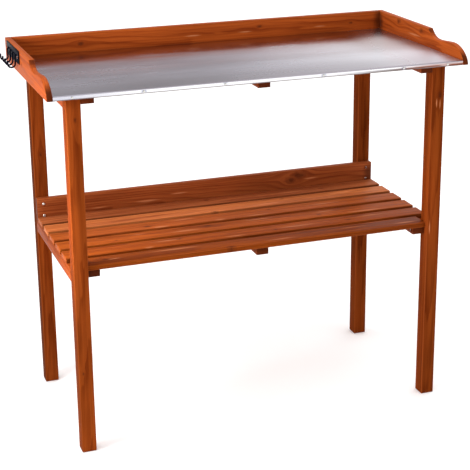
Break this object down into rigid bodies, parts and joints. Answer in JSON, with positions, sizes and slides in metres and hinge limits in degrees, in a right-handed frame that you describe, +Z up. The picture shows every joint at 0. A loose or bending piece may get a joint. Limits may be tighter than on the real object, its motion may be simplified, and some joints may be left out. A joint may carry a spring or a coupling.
{
  "type": "potting bench",
  "caption": "Wooden garden potting bench with a metal-covered worktop, raised back and sides, a slatted shelf and a rail of tool hooks at one end.",
  "frame": {"origin": "centre of the bounding box's base, on the ground under the feet; the hooks count in the box, so the bench's own middle is 12.5 mm towards +X", "axes": "+X from the left end, where the hooks are, to the right end; +Y from the front to the back; +Z up"},
  "size_m": [1.005, 0.46, 0.885],
  "materials": {
    "stained_fir": "reddish brown translucent stain, satin, with grain and knots showing",
    "galvanised_zinc": "thin galvanised sheet, satin, slightly wavy",
    "black_steel": "black coated steel, satin",
    "zinc_plated_steel": "bright zinc plating"
  },
  "bodies": {
    "root": {"hook_1": "black_steel", "hook_2": "black_steel", "hook_3": "black_steel", "hook_4": "black_steel", "hook_rail": "black_steel", "hook_rail_screw_front": "zinc_plated_steel", "hook_rail_screw_rear": "zinc_plated_steel", "leg_front_left": "stained_fir", "leg_front_right": "stained_fir", "leg_rear_left": "stained_fir", "leg_rear_right": "stained_fir", "lip_nail_1": "zinc_plated_steel", "lip_nail_2": "zinc_plated_steel", "lip_nail_3": "zinc_plated_steel", "lip_nail_4": "zinc_plated_steel", "lip_nail_5": "zinc_plated_steel", "lip_nail_6": "zinc_plated_steel", "lower_cross_rail_left": "stained_fir", "lower_cross_rail_right": "stained_fir", "shelf_back_board": "stained_fir", "shelf_back_screw_lower_left": "zinc_plated_steel", "shelf_back_screw_lower_right": "zinc_plated_steel", "shelf_back_screw_upper_left": "zinc_plated_steel", "shelf_back_screw_upper_right": "zinc_plated_steel", "shelf_batten_left": "stained_fir", "shelf_batten_middle": "stained_fir", "shelf_batten_right": "stained_fir", "shelf_frame_screw_front_left": "zinc_plated_steel", "shelf_frame_screw_front_right": "zinc_plated_steel", "shelf_frame_screw_rear_left": "zinc_plated_steel", "shelf_frame_screw_rear_right": "zinc_plated_steel", "shelf_slat_1": "stained_fir", "shelf_slat_2": "stained_fir", "shelf_slat_3": "stained_fir", "shelf_slat_4": "stained_fir", "shelf_slat_5": "stained_fir", "shelf_slat_6": "stained_fir", "side_panel_left": "stained_fir", "side_panel_right": "stained_fir", "upper_cross_rail_left": "stained_fir", "upper_cross_rail_right": "stained_fir", "worktop_back_board": "stained_fir", "worktop_batten_left": "stained_fir", "worktop_batten_middle": "stained_fir", "worktop_batten_right": "stained_fir", "worktop_frame_screw_front_left": "zinc_plated_steel", "worktop_frame_screw_front_right": "zinc_plated_steel", "worktop_frame_screw_rear_left": "zinc_plated_steel", "worktop_frame_screw_rear_right": "zinc_plated_steel", "worktop_panel": "stained_fir", "worktop_screw_left_front": "zinc_plated_steel", "worktop_screw_left_rear": "zinc_plated_steel", "worktop_screw_middle_front": "zinc_plated_steel", "worktop_screw_middle_rear": "zinc_plated_steel", "worktop_screw_right_front": "zinc_plated_steel", "worktop_screw_right_rear": "zinc_plated_steel", "zinc_sheet": "galvanised_zinc"}
  },
  "joints": []
}
